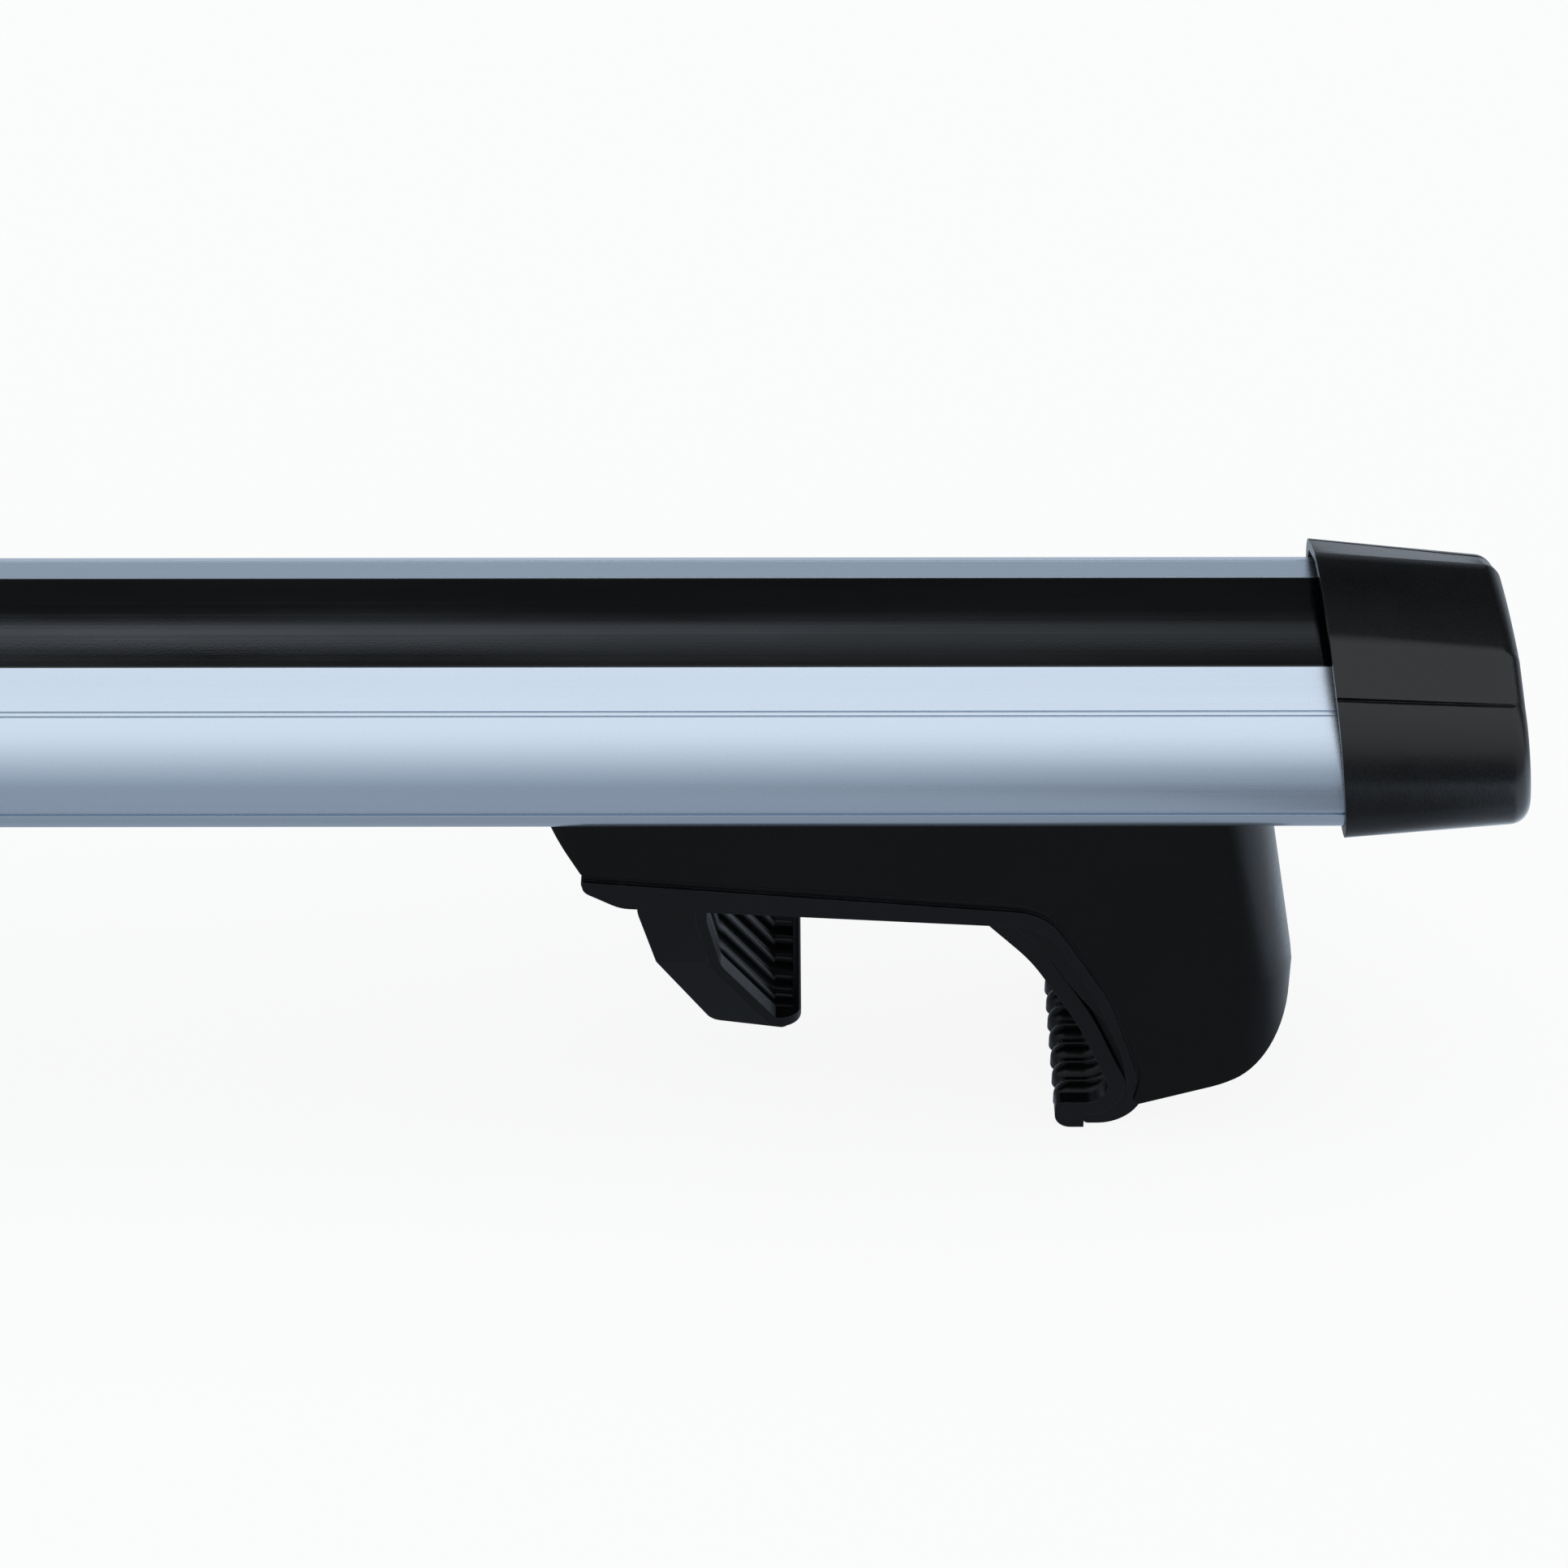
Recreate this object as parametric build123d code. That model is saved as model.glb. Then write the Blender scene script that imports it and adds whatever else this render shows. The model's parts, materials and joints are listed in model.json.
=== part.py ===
from build123d import *
import math
import os

os.makedirs("parts", exist_ok=True)

# Roof rack crossbar: a wing-section aluminium bar on two feet that clamp raised roof rails.
# Millimetres. X runs along the bar, Y along the car, Z up, and the two jaw tips stand on Z = 0.

# Bar extrusion; heights in the section are measured from its flat underside
bar_length = 1150.0
bar_width = 74.0
bar_lift = 87.0
bar_wall = 2.0
flank_height = 8.6
crease_half = 26.0
crease_height = 23.8
shoulder_height = 27.2
crown_rise = 0.8
strip_width = 30.4
groove_width = 0.35
groove_depth = 0.35
groove_spacing = 1.1
low_groove_width = 0.7
low_groove_depth = 0.8
low_groove_angle = 8.0
slope_angle = 17.0

# Slots along the bar
top_recess = 2.2
top_lip = 1.8
top_mouth = 12.0
top_slot_width = 22.0
top_slot_depth = 5.2
low_lip = 2.2
low_mouth = 10.4
low_slot_width = 22.0
low_slot_depth = 4.6
slot_wall = 1.6
web_spacing = 22.0
strip_clearance = 0.1
strip_barb = 17.0
strip_barb_depth = 3.6

# End caps
cap_reach = 25.0
cap_cover = 15.2
cap_lean = 0.104
cap_top_rise = 6.1
cap_crease_rise = 4.6
cap_end_tilt = 4.6
cap_side_rise = 2.6
cap_wall = 2.0
cap_draw = 3.2
cap_clearance = 0.3
cap_end_round = 4.0
cap_line_width = 0.9
cap_plug_length = 20.0
cap_plug_inner = 15.5
cap_plug_outer = 29.0
cap_plug_low = 5.0
cap_plug_high = 17.0

# Foot: profiles are drawn in X and Z, with X measured outwards from the foot's inner end
foot_inset = 169.0
shell_half = 31.0
shell_wall = 2.5
shell_length = 151.3
shell_corner = 11.0
shell_bend_z = 45.0
shell_lean = 7.5
shell_low_rise = 10.4
shell_low_round = 23.0
shell_bend_round = 50.0
nose_x = 6.5
nose_z = 74.0
waist_x = 99.5
waist_z = 66.3
trim_height = 5.7
trim_step = 2.1
trim_proud = 0.4
trim_recess = 0.4
trim_half_inner = 28.2
trim_nose = 4.0
trim_share = 0.82
trim_tip = 1.5
tip_z = 12.1

# Steel frame inside the foot
plate_thick = 4.0
web_thick = 3.0
web_inner = 22.4
web_start = 14.0
web_gap = 14.3
web_knee = 2.0
web_knee_z = 40.0
web_tip_x = 125.8
web_tip_z = 20.2
jaw_thick = 3.3
jaw_half = 23.0
jaw_pad_half = 24.3
pad_thick = 3.6
lip_x = 104.0
lip_round = 3.4
lip_metal_x = 110.2
wall_stop_gap = 16.0
wall_stop_thick = 4.0

# Rubber ribs, running from the base round to the lip
rib_pitch = 6.0
rib_width = 5.0
rib_height = 1.5
claw_rib_height = 1.0
rib_root = 0.6
jaw_rib_count = 7
claw_rib_count = 6
claw_pad_thick = 2.3
claw_pad_border = 3.2
claw_tip_border = 1.8

# Clamp: the bolt runs along X and draws the claw outwards
bolt_radius = 3.0
bolt_z = 75.0
bolt_end_x = 12.0
bolt_head_radius = 5.0
bolt_head_length = 6.0
bolt_key = 5.0
bolt_key_depth = 3.2
running_gap = 0.05
washer_radius = 7.0
washer_thick = 1.6
nut_flats = 10.0
nut_thick = 5.0
claw_half = 22.0
claw_x = 17.0
claw_shank = 11.8
claw_reach = 19.8
claw_gap = 0.4
claw_taper = 3.6
claw_taper_low = 20.0
claw_taper_high = 44.0
claw_corner = 5.0

# Plate in the bar's lower slot and its screws
slide_length = 80.0
slide_x = 32.0
slide_gap = 0.2
screw_radius = 3.0
screw_head_radius = 5.2
screw_head_height = 3.2
screw_spacing = 36.0
screw_shift = 9.0

# Screws that hold the shell to the frame
shell_screw_radius = 1.9
shell_screw_head = 3.6
shell_screw_head_height = 2.0
shell_screw_x = 64.0
shell_screw_z = 79.0
shell_boss_radius = 4.0
shell_rib_thick = 2.0
shell_rib_spacing = 42.0

# Access door on the foot's outer end
door_half = 17.0
door_gap = 0.4
door_low = 60.0
door_high = 82.6
hinge_radius = 2.0
hinge_recess = 0.1
hinge_knuckle_half = 12.0
pin_radius = 1.0
lock_z = 75.5
lock_radius = 5.0
lock_proud = 0.8
lock_length = 6.4
key_slot_width = 1.0
key_slot_length = 6.0
key_slot_depth = 1.5
cam_thick = 2.0
cam_width = 5.0
cam_reach = 10.6

# Worked out from the sizes above
bar_half = bar_length / 2
strip_half = strip_width / 2
foot_x = bar_half - foot_inset
plate_low = bar_lift - plate_thick
web_end = shell_length - web_gap
wall_stop_x = web_end - wall_stop_gap
door_high_edge = door_high + door_gap


def outline(*corners):
    """Closed face from corners given as (across, up, radius)."""
    points = [(across, up) for across, up, _ in corners]
    radii = [radius for _, _, radius in corners]
    return make_face(FilletPolyline(*points, radius=radii, close=True))


def upright(face, half):
    """Solid from a face drawn in X and Z, as wide as half to each side of Y = 0."""
    return extrude(Plane.XZ * face, amount=half, both=True)


def box(x_low, x_high, y_low, y_high, z_low, z_high):
    """Block between two corners."""
    size = (x_high - x_low, y_high - y_low, z_high - z_low)
    middle = ((x_high + x_low) / 2, (y_high + y_low) / 2, (z_high + z_low) / 2)
    return Pos(*middle) * Box(*size)


def rod_x(x_low, x_high, y, z, radius):
    """Round rod along X."""
    rod = Rot(0, 90, 0) * Cylinder(radius, x_high - x_low)
    return Pos((x_low + x_high) / 2, y, z) * rod


def rod_y(x, y_low, y_high, z, radius):
    """Round rod along Y."""
    rod = Rot(90, 0, 0) * Cylinder(radius, y_high - y_low)
    return Pos(x, (y_low + y_high) / 2, z) * rod


def rod_z(x, y, z_low, z_high, radius):
    """Round rod along Z."""
    return Pos(x, y, (z_low + z_high) / 2) * Cylinder(radius, z_high - z_low)


def beside(corners, gap):
    """Corners of the line that runs at a distance to the left of an open rounded line."""
    ahead = []
    for (x0, z0, _), (x1, z1, _) in zip(corners, corners[1:]):
        length = math.hypot(x1 - x0, z1 - z0)
        ahead.append(((x1 - x0) / length, (z1 - z0) / length))
    moved = []
    for index, (x, z, radius) in enumerate(corners):
        before = ahead[max(index - 1, 0)]
        after = ahead[min(index, len(ahead) - 1)]
        turn = before[0] * after[1] - before[1] * after[0]
        share = 1 + before[0] * after[0] + before[1] * after[1]
        across = -(before[1] + after[1]) / share
        up = (before[0] + after[0]) / share
        new_radius = radius - gap if turn > 0 else radius + gap
        moved.append((x + gap * across, z + gap * up, new_radius if radius else 0))
    return moved


def between(line, far_line):
    """Face between two lines of corners that run the same way."""
    return outline(*line, *reversed(far_line))


def wing(half, low, flank, crease_y, crease_z, shoulder_z, crown_z):
    """Face of the bar's section, for the bar, its hollow and its caps."""
    corner = flank - low
    edges = [Line((0, low), (half - corner, low))]
    edges += [RadiusArc((half - corner, low), (half, flank), -corner)]
    flank_arc = TangentArc((half, flank), (crease_y, crease_z), tangent=(0, 1))
    edges += [flank_arc, Line((crease_y, crease_z), (strip_half, shoulder_z))]
    right = Curve() + edges
    left = mirror(right, about=Plane.YZ)
    crown = ThreePointArc((strip_half, shoulder_z), (0, crown_z), (-strip_half, shoulder_z))
    return make_face((right + left + crown).edges())


def bar_section(offset_by=0.0):
    """Outer section of the bar, moved outwards by a distance."""
    return wing(
        bar_width / 2 + offset_by,
        -offset_by,
        flank_height,
        crease_half + offset_by * 0.3,
        crease_height + offset_by,
        shoulder_height + offset_by,
        shoulder_height + crown_rise + offset_by,
    )


def slab(low_y, high_y, low_z, high_z):
    """Rectangle in the section."""
    width, height = high_y - low_y, high_z - low_z
    return Pos((low_y + high_y) / 2, (low_z + high_z) / 2) * Rectangle(width, height)


def even_slab(width, low_z, high_z):
    """Rectangle in the section, centred on the bar."""
    return slab(-width / 2, width / 2, low_z, high_z)


def make_bar():
    """Aluminium extrusion with a slot above, a slot below and closed chambers."""
    recess_floor = shoulder_height - top_recess
    top_slot_high = recess_floor - top_lip
    top_slot_low = top_slot_high - top_slot_depth
    low_slot_high = low_lip + low_slot_depth
    block_low = top_slot_low - slot_wall
    block_high = low_slot_high + slot_wall
    section = bar_section()
    chambers = bar_section(-bar_wall)
    top_block_width = max(strip_width, top_slot_width) + 2 * slot_wall
    chambers -= even_slab(top_block_width, recess_floor - top_lip, shoulder_height + crown_rise)
    chambers -= even_slab(top_slot_width + 2 * slot_wall, block_low, top_slot_high)
    chambers -= even_slab(low_slot_width + 2 * slot_wall, 0, block_high)
    for side in (-1, 1):
        web_middle = side * web_spacing / 2
        web_low, web_high = web_middle - slot_wall / 2, web_middle + slot_wall / 2
        chambers -= slab(web_low, web_high, block_high - slot_wall / 2, block_low + slot_wall / 2)
    section -= chambers
    section -= even_slab(strip_width, recess_floor, shoulder_height + 2 * crown_rise)
    section -= even_slab(top_mouth, top_slot_high, recess_floor)
    section -= even_slab(top_slot_width, top_slot_low, top_slot_high)
    section -= even_slab(low_mouth, 0, low_lip)
    section -= even_slab(low_slot_width, low_lip, low_slot_high)
    corner = flank_height
    groove_y = bar_width / 2 - corner + corner * math.cos(math.radians(low_groove_angle))
    groove_z = flank_height - corner * math.sin(math.radians(low_groove_angle))
    for side in (-1, 1):
        for along in (-groove_spacing / 2, groove_spacing / 2):
            notch = Pos(side * along, 0) * Rectangle(groove_width, 2 * groove_depth)
            section -= Pos(side * crease_half, crease_height) * Rot(0, 0, -side * slope_angle) * notch
        section -= Pos(side * groove_y, groove_z) * Rectangle(2 * low_groove_depth, low_groove_width)
    return Pos(-bar_half, 0, bar_lift) * extrude(Plane.YZ * section, amount=bar_length)


def make_strip():
    """Rubber strip that fills the top recess and grips in the slot under it."""
    half = strip_half - strip_clearance
    floor = shoulder_height - top_recess
    neck = top_mouth / 2 - strip_clearance
    barb = strip_barb / 2
    neck_low = floor - top_lip - strip_clearance
    barb_low = neck_low - strip_barb_depth
    edges = Polyline(
        (half, shoulder_height),
        (half, floor),
        (neck, floor),
        (neck, neck_low),
        (barb, neck_low),
        (neck, barb_low),
        (-neck, barb_low),
        (-barb, neck_low),
        (-neck, neck_low),
        (-neck, floor),
        (-half, floor),
        (-half, shoulder_height),
    )
    crown_z = shoulder_height + crown_rise
    crown = ThreePointArc((-half, shoulder_height), (0, crown_z), (half, shoulder_height))
    section = make_face((edges + crown).edges())
    return Pos(-bar_half, 0, bar_lift) * extrude(Plane.YZ * section, amount=bar_length)


def cap_section(inwards):
    """Outer section of the cap, drawn in by a distance for its taper or its wall."""
    return wing(
        bar_width / 2 + cap_side_rise - inwards,
        -cap_side_rise + inwards,
        flank_height,
        crease_half + cap_side_rise * 0.25 - inwards * 0.7,
        crease_height + cap_crease_rise - inwards,
        shoulder_height + cap_top_rise - inwards,
        shoulder_height + crown_rise * 1.3 + cap_top_rise - inwards,
    )


def cap_body(x_start, x_end, wall):
    """Tapered body between two sections."""
    near = Plane.YZ.offset(x_start) * cap_section(wall)
    tilt = math.radians(cap_end_tilt)
    end_plane = Plane(origin=(x_end, 0, 0), x_dir=(0, 1, 0), z_dir=(math.cos(tilt), 0, math.sin(tilt)))
    far = end_plane * cap_section(wall + cap_draw)
    return loft([near, far])


def make_cap():
    """Moulded cap on the right end of the bar."""
    x_open = bar_half - cap_cover
    x_end = bar_half + cap_reach
    body = cap_body(x_open, x_end, 0)
    end_edges = body.faces().filter_by(GeomType.PLANE).sort_by(Axis.X)[-1].edges()
    body = fillet(end_edges, radius=cap_end_round)
    body -= cap_body(x_open - 1, x_end - cap_wall - cap_draw / 2, cap_wall)
    sleeve = Plane.YZ.offset(x_open - 1) * bar_section(cap_clearance)
    body -= extrude(sleeve, amount=cap_cover + 1 + cap_clearance)
    line_z = crease_height + cap_crease_rise
    for side in (-1, 1):
        start = (x_open - 1, side * (crease_half + cap_side_rise * 0.25 + 0.7), line_z - 0.3)
        end_y = side * (crease_half + cap_side_rise * 0.25 - cap_draw * 0.7 + 0.7)
        end = (x_end + 1, end_y, line_z - cap_draw - 0.3)
        path = Line(start, end)
        profile = Plane(origin=start, z_dir=path % 0) * Rectangle(cap_line_width, cap_line_width)
        body -= sweep(profile, path)
    top_z = shoulder_height + cap_top_rise
    slanted = Polyline(
        (x_open - 1, top_z + 5),
        (x_open - 1, -2 * cap_side_rise),
        (x_open + cap_lean * (top_z + 2 * cap_side_rise), -2 * cap_side_rise),
        (x_open, top_z),
        (x_open, top_z + 5),
        close=True,
    )
    body -= upright(make_face(slanted), bar_width)
    for side in (-1, 1):
        y_pair = sorted((side * cap_plug_inner, side * cap_plug_outer))
        plug = box(
            bar_half - cap_plug_length,
            x_end - cap_wall - cap_draw / 2 + 0.5,
            *y_pair,
            cap_plug_low,
            cap_plug_high,
        )
        core = box(
            bar_half - cap_plug_length - 1,
            x_end,
            y_pair[0] + cap_wall,
            y_pair[1] - cap_wall,
            cap_plug_low + cap_wall,
            cap_plug_high - cap_wall,
        )
        body += plug - core
    return Pos(0, 0, bar_lift) * body


def plan(x_low, x_high, half, outer_radius, inner_radius):
    """Upright block with rounded corners seen from above, to round the foot's two ends."""
    corners = (
        (x_low, -half, inner_radius),
        (x_high, -half, outer_radius),
        (x_high, half, outer_radius),
        (x_low, half, inner_radius),
    )
    return extrude(outline(*corners), amount=bar_lift + 20)


def leaning(x_far, half, radius):
    """Block whose far corners are rounded and lean inwards with the foot's end above its bend."""
    corners = (
        (-shell_length, -half, 0),
        (x_far, -half, radius),
        (x_far, half, radius),
        (-shell_length, half, 0),
    )
    face = outline(*corners)
    lean = (-shell_lean, 0, bar_lift - shell_bend_z)
    upper = Pos(0, 0, shell_bend_z) * extrude(face, amount=bar_lift, dir=lean)
    return extrude(face, amount=shell_bend_z) + upper


def wall_x(z):
    """Place of the shell's outer end face at a height."""
    return shell_length - max(z - shell_bend_z, 0) * shell_lean / (bar_lift - shell_bend_z)


def shell_edge():
    """Lower and inner edge of the shell's side, where the trim begins."""
    return [
        (nose_x, nose_z, 1.5),
        (waist_x, waist_z, 12),
        (waist_x + 15, waist_z - 25.3, 40),
        (waist_x + 21.5, 20, 12),
        (waist_x + 19.8, tip_z, 1),
    ]


def make_shell():
    """Plastic cover of the right foot: open above and below, with a window for the door."""
    lean_x = wall_x(bar_lift)
    side = outline(
        (0, bar_lift, 0),
        *shell_edge(),
        (shell_length, tip_z + shell_low_rise, shell_low_round),
        (shell_length, shell_bend_z, shell_bend_round),
        (lean_x, bar_lift, 0),
    )
    inner_x = shell_length - shell_wall
    hollow = outline(
        (shell_wall, bar_lift + 1, 0),
        (nose_x + shell_wall, nose_z, 0),
        (nose_x + shell_wall, -5, 0),
        (waist_x + 25.5, -5, 0),
        (waist_x + 25.5, tip_z + 4.2, 1),
        (inner_x, tip_z + shell_low_rise + shell_wall, shell_low_round - shell_wall),
        (inner_x, shell_bend_z, shell_bend_round - shell_wall),
        (lean_x - shell_wall - 0.2, bar_lift + 1, 0),
    )
    body = upright(side, shell_half) & plan(-1, shell_length + 1, shell_half, 0, 5)
    body &= leaning(shell_length, shell_half, shell_corner)
    hollow_half = shell_half - shell_wall
    hollow_corner = shell_corner - shell_wall
    room = upright(hollow, hollow_half) & plan(0, shell_length, hollow_half, 0, 2.5)
    body -= room & leaning(inner_x, hollow_half, hollow_corner)
    window_half = door_half + door_gap
    knuckle = hinge_knuckle_half + door_gap
    window_x = lean_x - 3 * shell_wall
    body -= box(window_x, shell_length + 1, -window_half, window_half, door_low, door_high_edge)
    window_low = door_low - hinge_radius - door_gap
    body -= box(window_x, shell_length + 1, -knuckle, knuckle, window_low, door_low + 1)
    for side_sign in (-1, 1):
        y_pair = sorted((side_sign * knuckle, side_sign * window_half))
        lug = rod_y(hinge_x(), *y_pair, door_low, hinge_radius)
        body += lug
        body -= rod_y(hinge_x(), *y_pair, door_low, pin_radius)
        wall_pair = sorted((side_sign * (web_inner + web_thick), side_sign * (hollow_half + 0.5)))
        for index in (0, 2):
            rib_x = shell_screw_x + (index - 1) * shell_rib_spacing
            rib_high = bar_lift - plate_thick
            rib = box(rib_x, rib_x + shell_rib_thick, *wall_pair, waist_z + 7, rib_high)
            body += rib
        boss = rod_y(shell_screw_x, *wall_pair, shell_screw_z, shell_boss_radius)
        screw_pair = sorted((side_sign * (web_inner + web_thick), side_sign * hollow_half))
        body += boss
        body -= rod_y(shell_screw_x, *screw_pair, shell_screw_z, shell_screw_radius)
    return body


def trim_lines():
    """Upper edge, step and lower edge of the trim under the shell."""
    top = shell_edge()
    (last_x, last_z, _), (end_x, end_z, _) = top[-2:]
    stop_x = last_x + trim_share * (end_x - last_x)
    stop_z = last_z + trim_share * (end_z - last_z)
    top[-1] = (stop_x, stop_z, 0)
    top[0] = (nose_x, nose_z, 0)
    low = [
        (nose_x - 0.4, nose_z - 3.6, 2.4),
        (nose_x + 7.5, nose_z - 8.1, 8),
        (waist_x, waist_z - trim_height, 12),
        (waist_x + 11, waist_z - 24.3, 40),
        (waist_x + 18.5, 22.5, 30),
        (stop_x - trim_tip, stop_z, 0),
    ]
    step = [
        (nose_x + 0.2, nose_z - 1.4, 0),
        (waist_x, waist_z - trim_step, 12),
        (waist_x + 13.7, waist_z - 25, 40),
        (waist_x + 20.6, 20.3, 12),
        (stop_x - trim_tip / 3, stop_z, 0),
    ]
    return top, step, low


def make_trim():
    """Soft edge trim: two bands along the shell's sides, joined round the nose."""
    top, step, low = trim_lines()
    full = outline(*top, *reversed(low))
    lower = outline(*step, *reversed(low))
    body = upright(full, shell_half - trim_recess) + upright(lower, shell_half + trim_proud)
    body &= plan(-1, shell_length, shell_half + trim_proud, shell_corner, 6)
    inner = box(nose_x + trim_nose, shell_length, -trim_half_inner, trim_half_inner, 0, bar_lift)
    return body - inner


def jaw_line():
    """Gripping face of the outer jaw, from the base down to its lip."""
    return [
        (81.0, 63.4, 0),
        (97.5, 46.0, 40),
        (107.6, 29.2, 60),
        (117.1, pad_thick + jaw_thick, 4.5),
        (lip_metal_x, pad_thick + jaw_thick, 0),
    ]


def make_frame():
    """Steel frame: top plate, two webs, the bolt's stop and the outer jaw plate."""
    web_half = web_inner + web_thick
    inner = beside(jaw_line(), pad_thick)
    outer = beside(jaw_line(), pad_thick + jaw_thick)
    outer[3] = (outer[3][0], outer[3][1], 9.5)
    jaw_end = [(lip_metal_x, jaw_thick, 1.4), (lip_metal_x, 0, 1.0)]
    jaw = upright(between(inner[:4] + jaw_end, outer[:4]), jaw_half)
    buried = beside(jaw_line(), pad_thick + 0.5)
    web = outline(
        (web_start, bar_lift, 0),
        (web_start, waist_z + 2.4, 3),
        (waist_x - 19, waist_z - 0.6, 0),
        buried[0],
        buried[1],
        buried[2],
        (web_tip_x, web_tip_z, 3),
        (web_end + web_knee, web_knee_z, 12),
        (web_end, bar_lift, 0),
    )
    body = upright(web, web_half) - box(0, shell_length, -web_inner, web_inner, 0, bar_lift)
    body += box(web_start, web_end, -web_half, web_half, plate_low, bar_lift)
    stop_far = wall_stop_x + wall_stop_thick
    body += box(wall_stop_x, stop_far, -web_half, web_half, waist_z - 2, bar_lift)
    body += jaw
    body -= rod_x(wall_stop_x - 1, stop_far + 1, 0, bolt_z, bolt_radius + running_gap)
    for x in screw_places():
        body -= rod_z(x, 0, plate_low - 1, bar_lift + 1, screw_radius + slide_gap)
    for side in (-1, 1):
        y_pair = sorted((side * (web_inner - 1), side * (web_half + 1)))
        body -= rod_y(shell_screw_x, *y_pair, shell_screw_z, shell_screw_radius + slide_gap)
    return body


def rib_offsets(count):
    """Places of the ribs across a pad."""
    return [(index - (count - 1) / 2) * rib_pitch for index in range(count)]


def rib_along(path_corners, count, side, height):
    """Round-backed ribs swept along a line of corners, on its left (1) or right (-1) side."""
    points = [(x, z) for x, z, _ in path_corners]
    radii = [radius for _, _, radius in path_corners[1:-1]]
    path = Wire((Plane.XZ * FilletPolyline(*points, radius=radii)).edges())
    origin = path @ 0
    section_plane = Plane(origin=origin, x_dir=(0, 1, 0), z_dir=path % 0)
    half = rib_width / 2
    arch = ThreePointArc((-half, 0), (0, side * height), (half, 0))
    root = -side * rib_root
    base = Polyline((half, 0), (half, root), (-half, root), (-half, 0))
    profile = section_plane * make_face((arch + base).edges())
    rib = sweep(profile, path)
    return [Pos(0, y, 0) * rib for y in rib_offsets(count)]


def make_jaw_pad():
    """Rubber pad of the outer jaw, with ribs that scallop the lip."""
    ground = pad_thick + jaw_thick
    surface = beside(jaw_line(), rib_height)
    back = beside(jaw_line(), pad_thick)
    lip_floor = ground - rib_height
    lip = [
        (lip_x + rib_height, lip_floor, 1.2),
        (lip_x + rib_height, 0, lip_round),
        (lip_metal_x, 0, 0),
        (lip_metal_x, jaw_thick, 0),
    ]
    body = upright(outline(*surface[:4], *lip, *reversed(back[:4])), jaw_pad_half)
    rim = [(lip_x, ground, 1.2), (lip_x, 0, lip_round)]
    border = outline(*jaw_line()[:4], *rim, *lip[2:], *reversed(back[:4]))
    border_inner = jaw_rib_count * rib_pitch / 2
    for side in (-1, 1):
        y_pair = sorted((side * border_inner, side * jaw_pad_half))
        slice_box = box(0, shell_length, *y_pair, 0, bar_lift)
        body += upright(border, jaw_pad_half) & slice_box
    ridge = surface[:4] + [(lip_x + rib_height, lip_floor, 1.8), (lip_x + rib_height, 1.6, 0)]
    for rib in rib_along(ridge, jaw_rib_count, -1, rib_height):
        body += rib
    return body


def claw_line():
    """Gripping face of the claw's casting, from the shank down to its lip."""
    face_x = claw_x + claw_shank
    return [
        (face_x, 63.0, 0),
        (face_x, 54.5, 8),
        (face_x + 3.0, 41.8, 8),
        (face_x + 15.2, 26.4, 2.6),
        (face_x + claw_reach, 26.0, 0),
    ]


def make_claw():
    """Cast claw with a shank that slides in the frame on the clamp bolt."""
    face_x = claw_x + claw_shank
    top = plate_low - claw_gap
    side = outline(
        (claw_x, top, 1),
        (claw_x, 57.0, 8),
        (claw_x + 3.6, 44.0, 1.5),
        (claw_x + 14.8, 25.9, 4),
        (claw_x + 30.2, 23.2, 1.6),
        (face_x + claw_reach, 26.0, 0.6),
        *reversed(claw_line()[1:4]),
        (face_x, top, 1),
    )
    body = upright(side, claw_half) & plan(0, face_x + claw_reach, claw_half, claw_corner, 0.5)
    for side_sign in (-1, 1):
        wedge = make_face(
            Polyline(
                (side_sign * claw_half, claw_taper_high),
                (side_sign * (claw_half - claw_taper), claw_taper_low),
                (side_sign * (claw_half + 2), claw_taper_low),
                (side_sign * (claw_half + 2), claw_taper_high),
                close=True,
            )
        )
        body -= extrude(Plane.YZ * wedge, amount=shell_length)
    nut_reach = nut_thick + slide_gap
    pocket = RegularPolygon(nut_flats / 2 + slide_gap, 6, major_radius=False)
    body -= Pos(claw_x, 0, bolt_z) * (Rot(0, 90, 0) * extrude(pocket, amount=nut_reach))
    body -= rod_x(claw_x - 1, face_x + 1, 0, bolt_z, bolt_radius + claw_gap)
    return body


def make_claw_pad():
    """Rubber pad of the claw, with ribs inside a smooth border."""
    line = claw_line()
    tip = (line[4][0] + 1.9, line[4][1], 0)
    line = line[:4] + [tip]
    face = beside(line, claw_pad_thick)
    sunk = beside(line, claw_pad_thick - claw_rib_height - 0.2)
    rounded_tip = (face[4][0], face[4][1], 1.2)
    body = upright(outline(*line, rounded_tip, *reversed(face[:4])), claw_half)
    border_y = claw_rib_count * rib_pitch / 2
    stop = face[4][0] - claw_tip_border
    high = sunk[0][1] - claw_pad_border
    pocket_line = sunk[:4] + [(stop, sunk[4][1], 0)]
    pocket = upright(outline(*pocket_line, (stop, sunk[0][1], 0)), border_y)
    pocket &= box(0, shell_length, -border_y, border_y, 0, high)
    body -= pocket
    ridge = [(sunk[0][0], high, 0)] + sunk[1:4] + [(stop, sunk[4][1], 0)]
    for rib in rib_along(ridge, claw_rib_count, 1, claw_rib_height):
        body += rib
    return body & plan(0, tip[0], claw_half, claw_corner, 0.5)


def make_bolt():
    """Socket-head clamp bolt along X."""
    under_head = wall_stop_x + wall_stop_thick + washer_thick
    body = rod_x(bolt_end_x, under_head, 0, bolt_z, bolt_radius)
    body += rod_x(under_head, under_head + bolt_head_length, 0, bolt_z, bolt_head_radius)
    key = extrude(RegularPolygon(bolt_key / 2, 6, major_radius=False), amount=bolt_key_depth)
    key_x = under_head + bolt_head_length - bolt_key_depth
    return body - Pos(key_x, 0, bolt_z) * (Rot(0, 90, 0) * key)


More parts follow.
